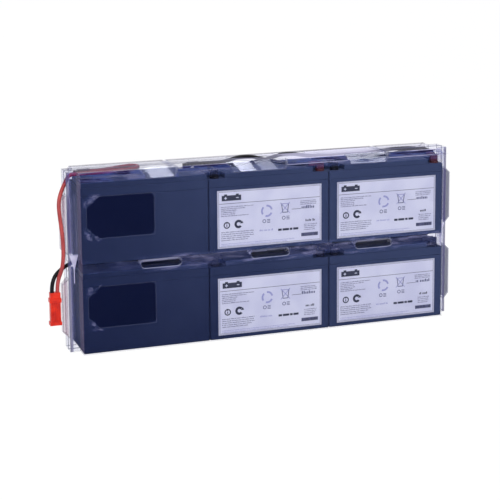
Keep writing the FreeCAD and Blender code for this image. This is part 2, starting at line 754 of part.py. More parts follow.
def window(x, y, length, degrees):
    """A round-ended window through the roof, turned to lie along the wire that bows out of it."""
    half, radius = (length - S.window_width) / 2, S.window_width / 2
    tall = S.film + S.shoulder_drop
    slot = [block("window_slot", (-half, half), (-radius, radius), (0.0, tall))]
    for end in (-1, 1):
        slot.append(cylinder("window_end", radius, tall, half * end, 0.0, 0.0))
    return place(fuse("window", slot), x, y, roof_z - tall / 2, about((0, 0, 1), degrees))


def openings():
    """Roof windows over the bowed wires, and the holes for the two leads."""
    items = [window(column_x(1) + S.left_window_x, S.left_window_y, S.left_window_length, LEFT_WINDOW_TURN),
             window(column_x(1) + S.right_window_x, S.right_window_y, S.right_window_length, RIGHT_WINDOW_TURN)]
    for x, y, z in (red_exit, black_exit):
        items.append(cylinder("exit_hole", S.exit_radius, S.film * 2 + PAST * 2, x - PAST, y, z,
                              about((0, 1, 0), 90)))
    return items


def shell():
    film = cut("film", mould(Size("0.0", 0.0)), mould(S.film))
    film = cut("film_open", film, fuse("film_openings", openings()))
    reach_x, reach_y = channel_x + S.grip_reach + PAST, shell_y + PAST
    z = (-PAST, roof_z + PAST)
    for name, y in (("front_shell", (-reach_y, channel_y)), ("rear_shell", (channel_y, reach_y))):
        half = block("half_space", (-reach_x, reach_x), y, z)
        node(name, common(name, film, half))


# ---- the model -----------------------------------------------------------------------------

for row in range(len(ROWS)):
    for column in range(len(COLUMNS)):
        battery_case(column, row)
        battery_lid(column, row)
        vent_cover(column, row)
        battery_label(column, row)
    terminals(row)
link_wires()
feed_wires()
free_leads()
connector()
shell()
doc.recompute()

for item in doc.Objects:
    if "Invalid" in item.State or "Error" in item.State:
        raise SystemExit("%s (%s) failed: %s" % (item.Name, item.Label, item.State))
for name, item in NODES.items():
    if item.Shape.isNull() or not item.Shape.isValid():
        raise SystemExit("%s has no valid shape" % name)

os.makedirs("parts", exist_ok=True)
for name, item in NODES.items():
    item.Shape.exportStep("parts/%s.step" % name)
print("%d nodes written" % len(NODES))
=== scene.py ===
import bpy
import bmesh
import math
import random
from types import SimpleNamespace
from mathutils import Matrix, Vector

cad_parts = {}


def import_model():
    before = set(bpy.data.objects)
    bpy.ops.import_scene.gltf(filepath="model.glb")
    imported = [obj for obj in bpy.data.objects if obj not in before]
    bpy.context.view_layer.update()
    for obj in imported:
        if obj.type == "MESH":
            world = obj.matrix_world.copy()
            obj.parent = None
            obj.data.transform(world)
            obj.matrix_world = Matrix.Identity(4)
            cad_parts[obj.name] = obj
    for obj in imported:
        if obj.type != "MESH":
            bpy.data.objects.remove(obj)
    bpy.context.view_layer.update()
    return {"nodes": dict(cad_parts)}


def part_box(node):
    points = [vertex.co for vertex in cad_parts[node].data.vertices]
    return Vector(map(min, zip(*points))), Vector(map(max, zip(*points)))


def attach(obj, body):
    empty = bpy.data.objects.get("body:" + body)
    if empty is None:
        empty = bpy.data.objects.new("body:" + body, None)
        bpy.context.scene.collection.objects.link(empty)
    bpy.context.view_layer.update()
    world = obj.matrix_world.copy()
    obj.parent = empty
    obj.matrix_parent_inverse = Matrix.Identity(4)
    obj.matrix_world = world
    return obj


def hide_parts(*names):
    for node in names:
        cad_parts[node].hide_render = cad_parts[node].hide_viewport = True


# The looks of a battery cartridge: six dark sealed blocks with printed labels, their wiring
# and its plug lead, inside a clear thermoformed shell. Metres, in the frame of the CAD model.

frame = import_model()
nodes = frame["nodes"]

MM = 0.001
ROWS = ("lower", "upper")
COLUMNS = ("left", "middle", "right")

# Where things are, in millimetres: heights from the floor, the rest from the middle. The
# shoulder's slope runs back so far for each millimetre up.
BLOCK_FACE, LID_TOP = 32.5, 200.0
BODY_END, BODY_SIDE = 228.0, 33.8
SHOULDER, SHOULDER_RUN = 206.0, 1.8
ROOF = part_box("rear_shell")[1].z / MM
CHANNEL_FRONT, CHANNEL_END, WAIST_MIDDLE = -16.0, 240.0, 233.0
GAP_MIDDLE, GRIP_LEVEL = 100.5, 49.0
POCKET_RIMS_END = 220.0

# The pads of the bare front faces, from the lower left corner of a block.
PAD_SIDE, PAD_FOOT, PAD_LENGTH, PAD_HEIGHT, PAD_CORNER, PAD_ROUND = 6.0, 29.0, 80.0, 49.0, 12.0, 6.0

# The bays' slopes: their foot, their face there, how far they run back and lean for each
# millimetre up, their bright facets as left, right and brightness, and the broken one.
BAY_FOOT, BAY_FACE, BAY_RUN, BAY_LEAN = 201.0, 33.3, 1.59, 0.65
BAY_FACETS = ((-144.0, -117.0, 0.9), (-36.0, -15.5, 1.25), (-9.5, 10.5, 0.9))
BROKEN_BAY, BROKEN_BRIGHTNESS = 98.0, 1.25

# The leads that hang outside, as the points of their splines.
WIRE_DIAMETER = 4.6
RED_EXIT = (-240.0, -9.0, 196.5)
BLACK_EXIT = (-240.0, -8.5, 101.0)
RED_ROUTE = (RED_EXIT, (-246.0, -12.96, 186.9), (-249.6, -18.0, 174.5), (-248.6, -20.8, 158.0),
             (-246.6, -22.0, 139.0), (-246.0, -22.4, 119.0), (-247.6, -22.0, 101.5),
             (-253.8, -20.0, 86.0), (-253.8, -20.0, 74.0))
BLACK_ROUTE = (BLACK_EXIT, (-251.94, -15.3, 97.32), (-260.2, -20.0, 85.0), (-260.2, -20.0, 74.0))

# How far edges are rounded in millimetres, the folds' shares of FOLD_WIDTH, then angles in
# degrees: edges rounded from, folds rounded from, faces joined within, shaded smooth under.
CASE_EDGE, LID_EDGE, VENT_EDGE, BOOT_EDGE, PLUG_EDGE = 0.5, 0.45, 0.25, 0.35, 0.45
FOLD_WIDTH, PLAIN_FOLD, RIM_FOLD = 0.7, 0.5, 1.0
SOFT_FROM, FOLD_FROM, FLAT_WITHIN, SMOOTH_UNDER = 30, 12, 0.5, 38

# The small print of a label, in millimetres from its lower left corner: where the lines
# start, the first line's height (from the top when negative), the step down, the lines'
# widths, how tall they are and their ink.
SMALL_PRINT = (
    (4.5, -20.2, 2.15, (40, 31, 19, 19, 18, 34), 1.25, "grey_ink"),
    (4.5, 18.6, 2.4, (41, 40, 41, 37, 33), 1.3, "grey_ink"),
    (4.5, 4.6, 2.0, (92, 84), 1.1, "pale_ink"),
    (104.0, -19.8, 2.0, (21, 21, 21), 1.2, "grey_ink"),
    (105.5, 40.4, 0.0, (20,), 3.6, "grey_ink"),
    (52.0, 17.0, 0.0, (17,), 2.2, "pale_ink"),
    (110.5, 24.6, 0.0, (12,), 2.8, "dark_ink"),
    (108.5, 20.6, 2.2, (17, 16, 15, 14), 1.2, "grey_ink"),
)
HEADER_BAND, STRIPES, STRIPE_PITCH = 16.0, 14, 1.48
PRINT_LIFT, OVERPRINT_LIFT = 0.04, 0.02

# Lights, in metres and watts: name, place, target, width, height, power.
SOFTBOXES = (
    ("overhead", (0.27, 0.30, 1.5), (0.27, 0.30, 0.2), 0.36, 0.26, 5.4),
    ("overhead_dim", (0.62, 0.30, 1.5), (0.62, 0.30, 0.2), 0.32, 0.26, 2.1),
    ("top_fill", (-0.2, -0.6, 1.6), (0, 0, 0.1), 1.4, 0.8, 9),
    ("key", (-1.0, -1.5, 1.0), (0, 0, 0.1), 1.0, 1.0, 14),
    ("fill", (1.3, -1.4, 0.6), (0, 0, 0.1), 1.0, 1.0, 7),
)

# The camera: place in millimetres, yaw, pitch and roll in degrees, a long lens.
CAMERA_PLACE = (-549.93, -1536.63, 491.11)
CAMERA_TURN = (19.265, 8.420, -0.439)
CAMERA_LENS, CAMERA_SENSOR, CAMERA_SHIFT = 99.46, 36, -0.25

# The floor and wall, in metres: half width, front edge, start and radius of the bend, top.
SWEEP_SIDE, SWEEP_FRONT, BEND_START, BEND_RADIUS, SWEEP_TOP = 6.0, -4.0, 1.6, 0.8, 4.0


class Veil:
    """How strongly each part of the sheet is veiled: 0 is clear and 1 hides what lies behind.
    What ends in LESS is taken off at one place and what ends in MORE is added."""
    EVERYWHERE, CLOUD = 0.035, 0.04
    GRIP, LEFT_GRIP_LESS = 0.67, 0.46
    ROOF, ROOF_FAR_EDGE, ROOF_MILKY, ROOF_OVER_ARCH_LESS = 0.09, 0.4, 0.34, 0.06
    # Of these, the ribbons' share also carries a painted shadow, and the shares of the shoulder's
    # edge and of the V on the channels are painted highlights.
    FLANK, SMOKE, RIBBON, LINE, WAIST = 0.17, 0.7, 0.7, 0.6, 0.8
    # The pockets' shares are a painted reflection, and the crease shares partly painted glints.
    POCKET, LEFT_POCKET_MORE = 0.3, 0.4
    CREASE, FINE_CREASE, SCUFF = 0.34, 0.08, 0.4
    STREAK, STREAK_GROUND = 0.18, 0.06


class Mirror:
    """What the sheet mirrors: nothing under a Fresnel value (SQUARE), and above it the rest
    times RISE, up to MOST. What ends in LESS is taken off at one place."""
    INDEX = 1.42
    SQUARE, RISE = 0.055, 11
    BAY_SQUARE, BAY_RISE = 0.036, 3.4
    MOST, ROOF_LESS, OVER_ARCH_LESS = 0.15, 0.08, 0.05
    ENDS_LESS, BETWEEN_FACETS_LESS = 0.8, 0.9
    EDGE_MOST = 0.3


# ---- shader maths ---------------------------------------------------------------------------

class Tree:
    """The node tree of one new material or world, with short ways to add nodes."""

    def __init__(self, name, owners=None, output="ShaderNodeOutputMaterial"):
        owners = bpy.data.materials if owners is None else owners
        self.owner = owners.new(name)
        self.owner.use_nodes = True
        self.tree = self.owner.node_tree
        self.tree.nodes.clear()
        self.output = self.tree.nodes.new(output)

    def add(self, kind, settings=None, inputs=None):
        """One node. settings are its own properties, inputs its sockets by name or index."""
        node = self.tree.nodes.new(kind)
        for key, value in (settings or {}).items():
            setattr(node, key, value)
        for key, value in (inputs or {}).items():
            self.feed(node.inputs[key], value)
        return node

    def feed(self, socket, value):
        if isinstance(value, Term):
            value = value.socket
        if isinstance(value, bpy.types.NodeSocket):
            self.tree.links.new(value, socket)
        else:
            socket.default_value = value

    def term(self, node, output=0):
        return Term(self, node.outputs[output])

    def place(self):
        """Object coordinates in millimetres, as x, y, z terms."""
        coords = self.add("ShaderNodeTexCoord")
        scaled = self.add("ShaderNodeVectorMath", {"operation": "SCALE"},
                          {0: coords.outputs["Object"], "Scale": 1 / MM})
        parts = self.add("ShaderNodeSeparateXYZ", inputs={0: scaled.outputs[0]})
        return scaled.outputs[0], [self.term(parts, n) for n in range(3)]

    def noise(self, where, scale, detail=3.0, roughness=0.5, stretch=(1, 1, 1)):
        """Noise of about `scale` millimetres."""
        mapped = self.add("ShaderNodeMapping", inputs={"Vector": where, "Scale": stretch})
        node = self.add("ShaderNodeTexNoise",
                        inputs={"Vector": mapped.outputs[0], "Scale": 1 / scale,
                                "Detail": detail, "Roughness": roughness})
        return self.term(node, 0)

    def mix(self, share, low, high):
        """A colour between two colours."""
        node = self.add("ShaderNodeMix", {"data_type": "RGBA"})
        self.feed(node.inputs[0], share)
        self.feed(node.inputs[6], low)
        self.feed(node.inputs[7], high)
        return node.outputs[2]

    def bump(self, height, depth):
        """A bump of `depth` millimetres."""
        node = self.add("ShaderNodeBump", inputs={"Height": height, "Distance": depth * MM,
                                                  "Strength": 1.0})
        return node.outputs[0]

    def principled(self, **inputs):
        """A Principled shader; the inputs' names have _ for a space."""
        named = {key.replace("_", " "): value for key, value in inputs.items()}
        return self.add("ShaderNodeBsdfPrincipled", inputs=named)

    def finish(self, shader):
        """Shows this shader, and gives the material or world."""
        self.tree.links.new(shader.outputs[0], self.output.inputs[0])
        return self.owner


class Term:
    """A number socket that takes part in Python expressions."""

    def __init__(self, tree, socket):
        self.tree = tree
        self.socket = socket

    def math(self, operation, *others):
        values = dict(enumerate((self,) + others))
        return self.tree.term(self.tree.add("ShaderNodeMath", {"operation": operation}, values))

    def __add__(self, other):
        return self.math("ADD", other)

    __radd__ = __add__

    def __mul__(self, other):
        return self.math("MULTIPLY", other)

    __rmul__ = __mul__

    def __sub__(self, other):
        return self.math("SUBTRACT", other)

    def __rsub__(self, other):
        return self * -1 + other

    def __pow__(self, other):
        return self.math("POWER", other)

    def __abs__(self):
        return self.math("ABSOLUTE")

    def most(self, other):
        return self.math("MAXIMUM", other)

    def least(self, other):
        return self.math("MINIMUM", other)

    def ramp(self, low, high):
        """0 below low, 1 above high and smooth between; low may be the greater."""
        node = self.tree.add("ShaderNodeMapRange", {"interpolation_type": "SMOOTHSTEP"},
                             {0: self, 1: low, 2: high, 3: 0.0, 4: 1.0})
        return self.tree.term(node)


def colour(red, green, blue):
    """A colour given as it looks, in parts of 255, made linear."""
    def linear(part):
        part /= 255
        return part / 12.92 if part <= 0.04045 else ((part + 0.055) / 1.055) ** 2.4
    return linear(red), linear(green), linear(blue), 1.0


# ---- materials ------------------------------------------------------------------------------

def block_plastic():
    """Dark navy ABS, with the sheet's haze and reflection painted into its colour: lighter towards
    the upper right, and painted darker on the pads where the sheet is pressed against it.
    """
    t = Tree("block_plastic")
    where, (x, y, z) = t.place()
    cloud = t.noise(where, 60.0, 2.0)
    touch, _ = pressed(t, x, z)
    # A painted reflection of the sheet, lighter towards the upper right, with random cloud in it.
    worn = (x * 0.0026 + z * 0.0022 + cloud * 0.5 - 0.03).ramp(-0.35, 0.95)
    bare = t.mix(worn, colour(31, 40, 71), colour(58, 68, 98))
    # Painted darker on the pads, where the pressed sheet shows no haze or reflection.
    shade = t.mix(touch * y.ramp(1.5 - BLOCK_FACE, 0.5 - BLOCK_FACE), bare, colour(8, 17, 48))
    grain = t.bump(t.noise(where, 3.0, 2.0), 0.002)
    return t.finish(t.principled(Base_Color=shade, Roughness=cloud * 0.12 + 0.46,
                                 Specular_IOR_Level=0.06, Normal=grain))


def paper(name, tone, tone_2):
    """Matt label stock, a little uneven in tone."""
    t = Tree(name)
    where, _ = t.place()
    fibre = t.noise(where, 0.8, 3.0)
    cloud = t.noise(where, 34.0, 2.0)
    return t.finish(t.principled(Base_Color=t.mix(cloud.ramp(0.35, 0.65), tone, tone_2),
                                 Roughness=fibre * 0.1 + 0.42, Normal=t.bump(fibre, 0.01)))


def ink(name, tone):
    """Print with paler speckles in it."""
    t = Tree(name)
    where, _ = t.place()
    speckle = t.noise(where, 0.22, 2.0)
    paler = [min(1.0, part * 1.5 + 0.02) for part in tone[:3]] + [1.0]
    shade = t.mix(speckle.ramp(0.45, 0.75), tone, paler)
    return t.finish(t.principled(Base_Color=shade, Roughness=0.5))


def vinyl(name, tone, deep, rough=0.34, gloss=0.5):
    """Soft wire insulation and boots: even colour with faint drag marks and dull patches."""
    t = Tree(name)
    where, _ = t.place()
    cloud = t.noise(where, 9.0, 3.0)
    grain = t.noise(where, 0.5, 2.0)
    return t.finish(t.principled(Base_Color=t.mix(cloud.ramp(0.3, 0.7), deep, tone),
                                 Roughness=cloud * 0.14 + rough, Specular_IOR_Level=gloss,
                                 Normal=t.bump(grain, 0.02)))


def nylon():
    """The moulded housing of the plug."""
    t = Tree("plug_nylon")
    where, _ = t.place()
    grain = t.noise(where, 0.45, 3.0)
    cloud = t.noise(where, 7.0, 2.0)
    shade = t.mix(cloud.ramp(0.3, 0.7), colour(204, 24, 2), colour(232, 44, 6))
    return t.finish(t.principled(Base_Color=shade, Roughness=grain * 0.15 + 0.3,
                                 Specular_IOR_Level=0.35, Normal=t.bump(grain, 0.03),
                                 Subsurface_Weight=0.08, Subsurface_Radius=(0.004, 0.001, 0.0006)))


def tinned():
    """Tinned brass blades and receptacles."""
    t = Tree("tinned_brass")
    where, _ = t.place()
    streak = t.noise(where, 1.6, 3.0, stretch=(1, 1, 4))
    shade = t.mix(streak, colour(178, 174, 166), colour(214, 211, 205))
    return t.finish(t.principled(Base_Color=shade, Metallic=1.0, Roughness=streak * 0.2 + 0.22))


def film_shader(t, veil, tone, mirror, normal, rough):
    """Clear sheet: see-through, with a veil of haze and a gloss over it."""
    haze = t.principled(Base_Color=tone, Roughness=1.0, Specular_IOR_Level=0.0)
    gloss = t.add("ShaderNodeBsdfGlossy", inputs={"Color": (0.84, 0.86, 1.0, 1.0),
                                                  "Roughness": rough, "Normal": normal})
    clear = t.add("ShaderNodeBsdfTransparent", inputs={"Color": (0.965, 0.965, 0.98, 1.0)})
    veiled = t.add("ShaderNodeMixShader", inputs={0: veil, 1: clear.outputs[0],
                                                  2: haze.outputs[0]})
    return t.finish(t.add("ShaderNodeMixShader", inputs={0: mirror, 1: veiled.outputs[0],
                                                         2: gloss.outputs[0]}))


def glancing(t, normal, bay=0.0):
    """How much the outer surface mirrors, and 1 on that surface. It mirrors nothing where it is
    faced squarely; the bays start to mirror sooner."""
    outside = 1 - t.term(t.add("ShaderNodeNewGeometry"), "Backfacing")
    share = t.term(t.add("ShaderNodeFresnel", inputs={"IOR": Mirror.INDEX, "Normal": normal}))
    plain = (share - Mirror.SQUARE).most(0.0) * Mirror.RISE
    sloped = (share - Mirror.BAY_SQUARE).most(0.0) * Mirror.BAY_RISE
    return plain * (1 - bay) + sloped * bay, outside


def shell_places(x, y, z):
    """1 on each named part of the shell and 0 off it."""
    at = SimpleNamespace()
    at.left = x.ramp(0.5, -0.5)
    at.grip = abs(x).ramp(CHANNEL_END + 0.4, CHANNEL_END + 0.8)
    at.ends = abs(x).ramp(BODY_END - 1.5, BODY_END - 0.5)
    at.flank = at.ends * abs(y).ramp(17.0, 18.0)
    at.facing = abs(y).ramp(BLOCK_FACE - 0.3, BLOCK_FACE)
    at.front = at.facing * (1 - at.ends) * over_blocks(z)
    at.inward = (1 - at.facing) * (1 - at.ends) * z.ramp(LID_TOP, LID_TOP - 4)
    at.roof = z.ramp(ROOF - 0.8, ROOF - 0.4)
    at.far_edge = at.roof * y.ramp(13.0, 17.0)
    at.milky = x.ramp(15.0, 40.0) * x.ramp(160.0, 130.0)
    at.arch = x.ramp(160.0, 175.0)
    return at


def clear_film():
    """The drawn sheet: clear over the blocks, hazy on folds and roof, frosted on the grips, with
    painted glints and highlights, a painted reflection in the pockets and a painted shadow by the
    left shoulder.
    """
    t = Tree("clear_film")
    where, (x, y, z) = t.place()
    normal = t.bump(t.noise(where, 26.0, 3.0, stretch=(1, 1, 1.6)), 0.12)
    cloud = t.noise(where, 60.0, 2.0)
    drawn = t.noise(where, 5.0, 3.0, 0.6, stretch=(0.1, 1, 1))
    at = shell_places(x, y, z)
    bay, facets = bay_facets(drawn, x, y, z)
    creases, pocket = gap_marks(t, where, at, drawn, x, z)
    streaks, smoke, waist = channel_marks(t, where, x, y, z)
    ribbon, line = shoulder_marks(drawn, x, y, z)
    _, scuff = pressed(t, x, z)
    # Among the marks, the pale streaks of the crease veil are partly painted glints.
    marks = creases + streaks + scuff * at.facing * Veil.SCUFF

    share, outside = glancing(t, normal, bay)
    cap = Mirror.MOST - at.roof * (at.arch * Mirror.OVER_ARCH_LESS + Mirror.ROOF_LESS)
    mirror = share.least(cap) * outside * (1 - at.ends * Mirror.ENDS_LESS)
    mirror = mirror * (1 - bay * (1 - facets) * Mirror.BETWEEN_FACETS_LESS)

    haze = cloud * Veil.CLOUD + Veil.EVERYWHERE
    haze = haze + at.grip * (Veil.GRIP - at.left * Veil.LEFT_GRIP_LESS)
    haze = haze + at.roof * (at.milky * Veil.ROOF_MILKY - at.arch * Veil.ROOF_OVER_ARCH_LESS
                             + Veil.ROOF + at.far_edge * Veil.ROOF_FAR_EDGE)
    haze = haze + smoke * Veil.SMOKE + at.flank * Veil.FLANK
    # The ribbons' veil also lays a painted shadow below the left shoulder.
    veil = haze * (1 - (at.front + at.inward * 0.5)) + marks + ribbon * Veil.RIBBON
    # A painted reflection in the upper part of the pockets.
    veil = veil + pocket * (at.left * Veil.LEFT_POCKET_MORE + Veil.POCKET)
    # The V on the channels and the shoulder's edge raise the veil as painted highlights.
    veil = veil.most(waist * Veil.WAIST).most(line * Veil.LINE) * outside

    grey_roof = (at.roof * x.ramp(0.0, -90.0)).most(at.far_edge)
    tone = t.mix((marks * 6).least(1.0), (0.13, 0.20, 0.68, 1.0), (0.33, 0.33, 0.60, 1.0))
    for place, tint in (
            (at.grip, t.mix(at.left, (0.24, 0.24, 0.30, 1.0), (0.64, 0.34, 0.40, 1.0))),
            # Pale: the painted reflection in the pockets.
            (pocket, (0.85, 0.82, 1.0, 1.0)),
            (at.flank, (0.34, 0.27, 0.46, 1.0)),
            (smoke, (0.11, 0.10, 0.22, 1.0)),
            # Near black: the dark ribbons and the painted shadow.
            (ribbon, (0.013, 0.010, 0.055, 1.0)),
            # Lavender over the roof, and on the painted highlights of the V and the shoulder's
            # edge.
            ((at.roof + waist + line).least(1.0),
             t.mix(grey_roof, (0.70, 0.66, 0.88, 1.0), (0.22, 0.20, 0.22, 1.0)))):
        tone = t.mix(place, tone, tint)
    return film_shader(t, veil, tone, mirror, normal, 0.07)


def gap_marks(t, where, at, drawn, x, z):
    """Creases between the rows and over the lids, partly painted glints, and a painted reflection
    in the upper part of the pockets.
    """
    from_gap = abs(z - GAP_MIDDLE)
    gap = from_gap.ramp(11.0, 7.0) * at.facing
    over_lids = z.ramp(LID_TOP + 0.5, LID_TOP + 2.0) * (1 - at.roof)
    creased = gap * (1 - x.ramp(-110.0, -170.0) * 0.75) + over_lids * 0.6
    # Pale streaks along each crease: real folds, partly painted glints.
    creases = t.noise(where, 7.0, 3.0, 0.6, stretch=(0.22, 1, 1.3)).ramp(0.47, 0.7)
    creases = creases * creased * Veil.CREASE
    creases = creases + gap * x.ramp(-150.0, -115.0) * drawn.ramp(0.35, 0.6) * Veil.FINE_CREASE
    # The upper part of the pockets: a painted reflection.
    upper = z.ramp(GAP_MIDDLE - 1.5, GAP_MIDDLE + 0.5) * from_gap.ramp(9.0, 7.5)
    return creases, at.inward * upper * drawn.ramp(0.28, 0.5)


def shoulder_marks(drawn, x, y, z):
    """Dark ribbons down the shoulder's slope with a painted shadow between the lids and the
    shoulder on the left, and a painted highlight along the shoulder's edge.
    """
    front = abs(y).ramp(BODY_SIDE - 0.6, BODY_SIDE - 0.3)
    off_slope = abs(abs(y) + (z - SHOULDER) * SHOULDER_RUN - (BODY_SIDE - 0.3))
    slope = off_slope.ramp(1.1, 0.6) * z.ramp(SHOULDER + 0.2, SHOULDER + 0.8)
    # A painted highlight along the shoulder's edge.
    line = abs(z - (SHOULDER - 0.3)).ramp(0.9, 0.3) * front * drawn.ramp(0.36, 0.5)
    # A painted shadow between the lids and the shoulder on the left.
    shadow = z.ramp(LID_TOP + 0.3, LID_TOP + 1.0) * z.ramp(SHOULDER + 0.4, SHOULDER - 0.2) * front
    shadow = shadow * x.ramp(-110.0, -120.0) * drawn.ramp(0.6, 0.45)
    return (slope * drawn.ramp(0.62, 0.42) + shadow).least(1.0), line * x.ramp(-115.0, -105.0)


def bay_facets(drawn, x, y, z):
    """1 on the bays' slopes, and how brightly they mirror: slanting facets, little between."""
    rise = z - BAY_FOOT
    bay = abs(abs(y) + rise * BAY_RUN - BAY_FACE).ramp(1.4, 0.8)
    bay = bay * z.ramp(BAY_FOOT - 0.4, BAY_FOOT) * z.ramp(ROOF - 0.1, ROOF - 0.7)
    slant = x + rise * BAY_LEAN
    facets = 0.0
    for left, right, bright in BAY_FACETS:
        within = slant.ramp(left - 0.6, left + 0.6) * slant.ramp(right + 0.6, right - 0.6)
        facets = within * bright + facets
    broken = x.ramp(BROKEN_BAY, BROKEN_BAY + 6) * drawn.ramp(0.36, 0.52)
    return bay, facets + broken * BROKEN_BRIGHTNESS


def channel_marks(t, where, x, y, z):
    """On the front of the end channels: upright streaks, a smoky corner, and a painted highlight in
    a V with a stem below it.
    """
    wall = abs(x).ramp(BODY_END, BODY_END + 0.4) * y.ramp(CHANNEL_FRONT, CHANNEL_FRONT - 0.3)
    wall = wall * abs(x).ramp(CHANNEL_END + 0.4, CHANNEL_END)
    streak = t.noise(where, 2.6, 2.0, stretch=(1, 1, 0.04)).ramp(0.35, 0.65)
    level = abs(abs(z - GAP_MIDDLE) - GRIP_LEVEL).ramp(38.0, 30.0)
    level = level * (1 - z.ramp(100.0, 95.0) * 0.85)
    off_middle = abs(abs(x) - WAIST_MIDDLE)
    # A V of painted highlight, and its painted stem below.
    waist = ((z - 93.0) * 0.26 - off_middle).ramp(0.0, 1.0) * z.ramp(117.0, 113.0)
    drip = off_middle.ramp(0.8, 0.4) * z.ramp(80.0, 82.0) * z.ramp(99.0, 95.0)
    smoke = abs(x).ramp(235.0, 237.5) * (1 - waist)
    streaks = level * (streak * Veil.STREAK + Veil.STREAK_GROUND)
    return wall * streaks, wall * smoke, wall * (waist + drip).least(1.0)


def over_blocks(z):
    """1 at the heights of the blocks."""
    share = 0.0
    for row in ROWS:
        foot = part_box(row + "_left_case")[0].z / MM
        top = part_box(row + "_left_lid")[1].z / MM
        share = z.ramp(foot - 0.4, foot) * z.ramp(top, top - 0.4) + share
    return share


def pressed(t, x, z):
    """1 on the pads of the bare front faces, and on the scuffs round their cut corners."""
    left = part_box("lower_left_case")[0].x / MM + PAD_SIDE
    right = left + PAD_LENGTH
    smear = t.noise(t.place()[0], 7.0, 4.0, 0.7)
    touch, scuff = 0.0, 0.0
    for row in ROWS:
        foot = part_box(row + "_left_case")[0].z / MM + PAD_FOOT
        past_middle = abs(z - (foot + PAD_HEIGHT / 2)) - PAD_HEIGHT / 2
        corner = (x - left) - past_middle - PAD_CORNER
        round_x = (x - right + PAD_ROUND).most(0.0)
        round_z = (past_middle + PAD_ROUND).most(0.0)
        inside = ((round_x ** 2 + round_z ** 2) ** 0.5).ramp(PAD_ROUND + 0.5, PAD_ROUND - 1.5)
        touch = inside * (x - left).ramp(-0.5, 1.5) * (corner + smear * 3).ramp(1.5, 4.5) + touch
        near_corner = corner.ramp(-15.0, -4.0) * corner.ramp(5.0, 0.0)
        near_corner = near_corner * past_middle.ramp(-15.0, -8.0) * past_middle.ramp(3.5, 1.0)
        scuff = near_corner * x.ramp(left - 5, left - 1) + scuff
    return touch, scuff * smear.ramp(0.42, 0.68)


def film_edge():
    """The sheet's rounded folds: a painted highlight on the pockets' rims, faint at the pads."""
    t = Tree("film_edge")
    where, (x, y, z) = t.place()
    normal = t.bump(t.noise(where, 9.0, 2.0), 0.05)
    share, outside = glancing(t, normal)
    from_gap = abs(z - GAP_MIDDLE)
    rim = abs(y).ramp(BODY_SIDE - 0.8, BODY_SIDE - 0.6) * from_gap.ramp(9.0, 7.5)
    rim = rim * from_gap.ramp(1.5, 4.0)
    pad = abs(y).ramp(BLOCK_FACE + 0.1, BLOCK_FACE + 0.3) * over_blocks(z)
    pad = pad * abs(x).ramp(BODY_END - 2, BODY_END - 3)
    veil = (t.noise(where, 14.0, 2.0) * 0.2 + 0.5) * (1 - pad * 0.95)
    # The pockets' rims are given a pale tone as a painted highlight.
    tone = t.mix(rim, (0.13, 0.14, 0.24, 1.0), (0.42, 0.44, 0.60, 1.0))
    return film_shader(t, veil, tone, share.least(Mirror.EDGE_MOST) * outside, normal, 0.12)


def make_materials():
    return {
        "block": block_plastic(),
        "label": paper("label_paper", colour(204, 204, 222), colour(214, 214, 228)),
        "pale_ink": ink("pale_ink", colour(146, 147, 188)),
        "grey_ink": ink("grey_ink", colour(82, 84, 116)),
        "dark_ink": ink("dark_ink", colour(36, 40, 62)),
        "red_wire": vinyl("red_insulation", colour(184, 70, 66), colour(160, 50, 50)),
        "red_feed": vinyl("red_feed_insulation", colour(150, 40, 72), colour(122, 30, 60), 0.4,
                          0.25),
        "black_wire": vinyl("black_insulation", colour(15, 15, 20), colour(9, 9, 13), 0.4, 0.2),
        "red_boot": vinyl("red_boot", colour(88, 36, 62), colour(68, 27, 50), 0.4, 0.3),
        "black_boot": vinyl("black_boot", colour(20, 23, 42), colour(13, 15, 30), 0.4, 0.2),
        "red_seal": vinyl("red_seal", colour(78, 24, 34), colour(60, 18, 28), 0.5),
        "nylon": nylon(),
        "tinned": tinned(),
        "film": clear_film(),
        "film_edge": film_edge(),
    }


# ---- mesh helpers ---------------------------------------------------------------------------

def placed(name, data):
    """A new object of the scene."""
    thing = bpy.data.objects.new(name, data)
    bpy.context.scene.collection.objects.link(thing)
    return thing


def new_piece(name, data, materials, replaces=()):
    """A finished piece in its materials, standing in for the CAD nodes it replaces."""
    piece = placed(name, data)
    for material in materials:
        data.materials.append(material)
    if replaces:
        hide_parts(*replaces)
    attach(piece, "root")
    return piece


def merged_copy(node):
    """A CAD node's mesh, bare, with its doubles merged and its flat faces joined up."""
    mesh = nodes[node].data.copy()
    mesh.materials.clear()
    work = bmesh.new()
    work.from_mesh(mesh)
    bmesh.ops.remove_doubles(work, verts=work.verts, dist=2e-6)
    bmesh.ops.dissolve_limit(work, angle_limit=math.radians(FLAT_WITHIN), verts=work.verts,
                             edges=work.edges, delimit={"NORMAL"})
    work.to_mesh(mesh)
    work.free()
    return mesh


def baked(piece):
    """Turns a piece's modifiers into plain mesh."""
    depsgraph = bpy.context.evaluated_depsgraph_get()
    mesh = bpy.data.meshes.new_from_object(piece.evaluated_get(depsgraph))
    piece.modifiers.clear()
    piece.data = mesh
    return piece


def softened(node, radius, material, segments=2):
    """A stand-in for a CAD node with its edges rounded."""
    piece = new_piece(node + "_looks", merged_copy(node), [material], [node])
    bevel = piece.modifiers.new("soft_edges", "BEVEL")
    bevel.width = radius * MM
    bevel.segments = segments
    bevel.limit_method = "ANGLE"
    bevel.angle_limit = math.radians(SOFT_FROM)
    return smoothed(baked(piece))


